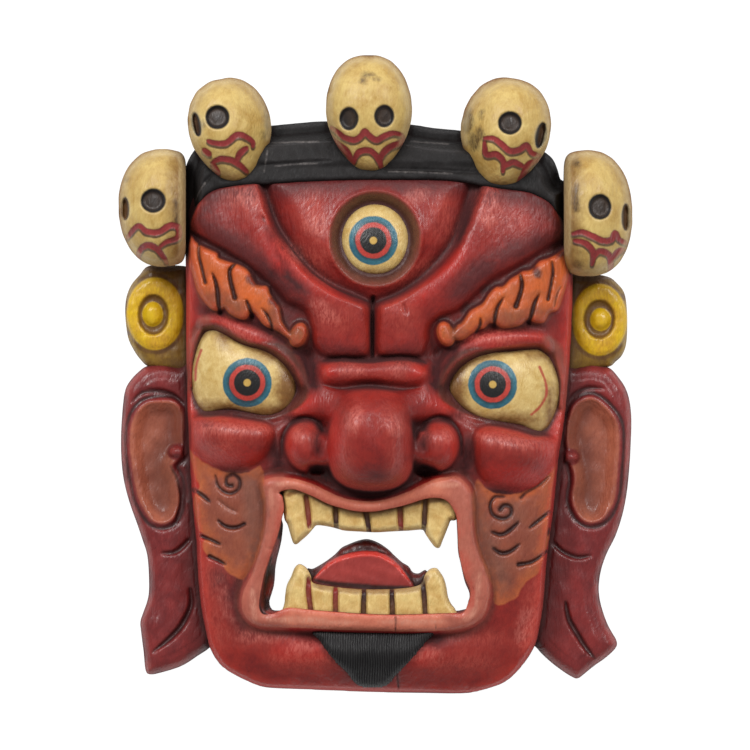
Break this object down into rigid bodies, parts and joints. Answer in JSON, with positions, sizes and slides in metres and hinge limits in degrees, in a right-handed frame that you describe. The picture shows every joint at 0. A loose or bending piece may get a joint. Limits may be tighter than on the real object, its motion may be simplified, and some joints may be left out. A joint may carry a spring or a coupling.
{
  "type": "bhairab mask",
  "caption": "Carved, painted wooden mask of a wrathful guardian face with a third eye, open fanged mouth, long ears and a crown of skulls.",
  "frame": {"origin": "middle of the mask's footprint, on the plane of the back rim that it lies on", "axes": "+Z out of the face, +Y towards the crown of skulls, +X to the right of someone who looks at the face"},
  "size_m": [0.3051, 0.3794, 0.1114],
  "materials": {
    "painted_wood": "red, black, ochre and orange lacquer over carved wood, with dark antique glaze in the recesses, semi-gloss"
  },
  "bodies": {
    "root": {"mask": "painted_wood"}
  },
  "joints": []
}
